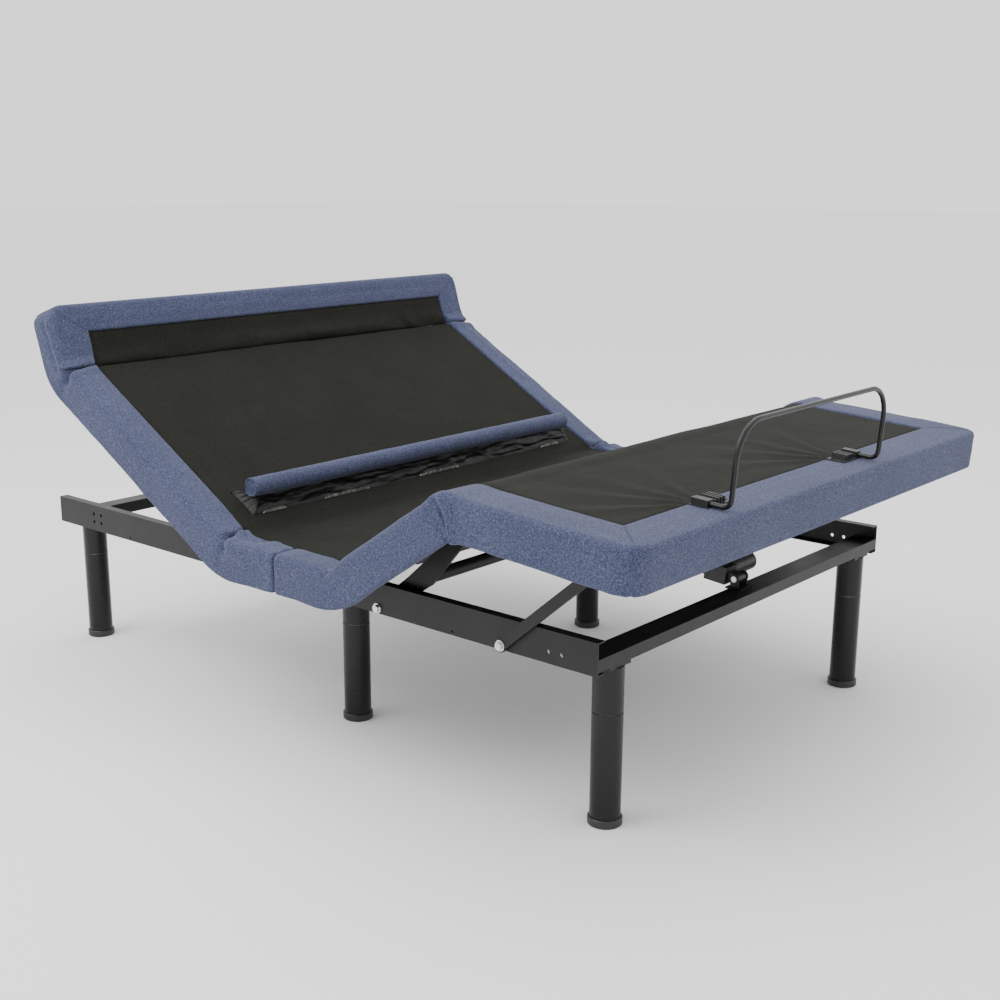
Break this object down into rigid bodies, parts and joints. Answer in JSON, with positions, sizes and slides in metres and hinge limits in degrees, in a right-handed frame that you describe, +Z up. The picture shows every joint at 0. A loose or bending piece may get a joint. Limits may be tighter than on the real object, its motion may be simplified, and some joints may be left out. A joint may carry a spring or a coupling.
{
  "type": "adjustable bed base",
  "caption": "Adjustable bed base with a raised back, pillow tilt, lumbar roll, knee lift, mattress retainer bar and round black legs.",
  "frame": {"origin": "on the floor, below the middle of the whole base in its rest pose", "axes": "+X across the bed, +Y towards the head, +Z up"},
  "size_m": [1.524, 2.0628, 0.9823],
  "materials": {
    "powder_black": "satin powder coat",
    "zinc": "zinc plated",
    "fabric_blue": "woven, heathered",
    "plywood": "raw",
    "plastic_black": "fine grain",
    "inset_black": "pleated cloth"
  },
  "bodies": {
    "frame": {"side_rail_left": "powder_black", "side_rail_right": "powder_black", "head_cross_member": "powder_black", "foot_cross_member": "powder_black", "leg_brackets": "powder_black", "upper_legs": "powder_black", "lower_legs": "powder_black", "leg_glides": "plastic_black", "leg_studs": "zinc", "seat_frame": "powder_black", "seat_board": "plywood", "seat_cover": "fabric_blue", "control_box": "plastic_black", "power_inlet": "plastic_black", "thigh_hinge_pins": "zinc", "back_hinge_pins": "zinc", "arm_bolts": "zinc", "link_bolts": "zinc", "head_actuator_pin": "zinc", "foot_actuator_pin": "zinc"},
    "back": {"back_frame": "powder_black", "back_board": "plywood", "back_cover": "fabric_blue", "tilt_hinge_pins": "zinc", "lumbar_guide": "powder_black", "lumbar_motor": "plastic_black", "lumbar_bellows": "inset_black", "head_lever_pin": "zinc", "tilt_actuator_pin": "zinc"},
    "tilt": {"tilt_frame": "powder_black", "tilt_board": "plywood", "tilt_cover": "fabric_blue", "tilt_lever_pin": "zinc"},
    "lumbar": {"lumbar_roll": "fabric_blue", "lumbar_beam": "powder_black"},
    "thigh": {"thigh_frame": "powder_black", "thigh_board": "plywood", "thigh_cover": "fabric_blue", "knee_hinge_pins": "zinc"},
    "foot": {"foot_frame": "powder_black", "foot_board": "plywood", "foot_cover": "fabric_blue", "retainer_bar": "plastic_black", "retainer_brackets": "plastic_black", "link_pins": "zinc"},
    "lift_arm": {"lift_arms": "powder_black", "lift_shoes": "plastic_black", "foot_lever_pin": "zinc"},
    "foot_links": {"foot_link_left": "powder_black", "foot_link_right": "powder_black"},
    "head_actuator": {"head_actuator_housing": "plastic_black", "head_actuator_motor": "plastic_black"},
    "head_rod": {"head_actuator_rod": "zinc"},
    "foot_actuator": {"foot_actuator_housing": "plastic_black", "foot_actuator_motor": "plastic_black"},
    "foot_rod": {"foot_actuator_rod": "zinc"},
    "tilt_actuator": {"tilt_actuator_housing": "plastic_black", "tilt_actuator_motor": "plastic_black"},
    "tilt_rod": {"tilt_actuator_rod": "zinc"}
  },
  "joints": [
    {"name": "back_lift", "type": "hinge", "parent": "frame", "child": "back", "pos_m": [0, 0.12693, 0.462], "axis": [1, 0, 0], "range_deg": [-30, 30]},
    {"name": "pillow_tilt", "type": "hinge", "parent": "back", "child": "tilt", "pos_m": [0, 0.74354, 0.818], "axis": [1, 0, 0], "range_deg": [-42, 6]},
    {"name": "lumbar_slide", "type": "slide", "parent": "back", "child": "lumbar", "axis": [0, -0.5, 0.866], "range_m": [-0.06, 0], "deforming": ["lumbar_bellows"]},
    {"name": "thigh_lift", "type": "hinge", "parent": "frame", "child": "thigh", "pos_m": [0, -0.24007, 0.462], "axis": [-1, 0, 0], "range_deg": [-34, 5]},
    {"name": "knee", "type": "hinge", "parent": "thigh", "child": "foot", "pos_m": [0, -0.56589, 0.68176], "axis": [-1, 0, 0], "range_deg": [-5.7, 38.1]},
    {"name": "lift_arm_turn", "type": "hinge", "parent": "frame", "child": "lift_arm", "pos_m": [0, -0.23307, 0.361], "axis": [-1, 0, 0], "range_deg": [-30.5, 4.6]},
    {"name": "foot_link_turn", "type": "hinge", "parent": "frame", "child": "foot_links", "pos_m": [0, -0.60366, 0.363], "axis": [-1, 0, 0], "range_deg": [-42.2, 6.3]},
    {"name": "foot_actuator_tilt", "type": "hinge", "parent": "frame", "child": "foot_actuator", "pos_m": [0, -0.79557, 0.408], "axis": [1, 0, 0], "range_deg": [-4.3, 0.65]},
    {"name": "foot_actuator_stroke", "type": "slide", "parent": "foot_actuator", "child": "foot_rod", "axis": [0, 0.9952, 0.0974], "range_m": [-0.0455, 0.0068]},
    {"name": "head_actuator_tilt", "type": "hinge", "parent": "frame", "child": "head_actuator", "pos_m": [0, -0.19007, 0.388], "axis": [1, 0, 0], "range_deg": [-0.25, 0.25]},
    {"name": "head_actuator_stroke", "type": "slide", "parent": "head_actuator", "child": "head_rod", "axis": [0, 0.999, 0.0441], "range_m": [-0.0296, 0.0296]},
    {"name": "tilt_actuator_tilt", "type": "hinge", "parent": "back", "child": "tilt_actuator", "pos_m": [0, 0.51466, 0.63043], "axis": [1, 0, 0], "range_deg": [-0.05, 0.25]},
    {"name": "tilt_actuator_stroke", "type": "slide", "parent": "tilt_actuator", "child": "tilt_rod", "axis": [0, 0.832, 0.5548], "range_m": [-0.0214, 0.0032]}
  ],
  "couplings": [
    {"joint": "knee", "follows": "thigh_lift", "ratio": -1.1176},
    {"joint": "lift_arm_turn", "follows": "thigh_lift", "ratio": 0.8945},
    {"joint": "foot_link_turn", "follows": "thigh_lift", "ratio": 1.237},
    {"joint": "foot_actuator_tilt", "follows": "thigh_lift", "ratio": 0.12538},
    {"joint": "foot_actuator_stroke", "follows": "thigh_lift", "m_per_rad": 0.076207},
    {"joint": "head_actuator_tilt", "follows": "back_lift", "ratio": -0.007958},
    {"joint": "head_actuator_stroke", "follows": "back_lift", "m_per_rad": 0.056235},
    {"joint": "tilt_actuator_tilt", "follows": "pillow_tilt", "ratio": -0.0055046},
    {"joint": "tilt_actuator_stroke", "follows": "pillow_tilt", "m_per_rad": 0.02903}
  ]
}
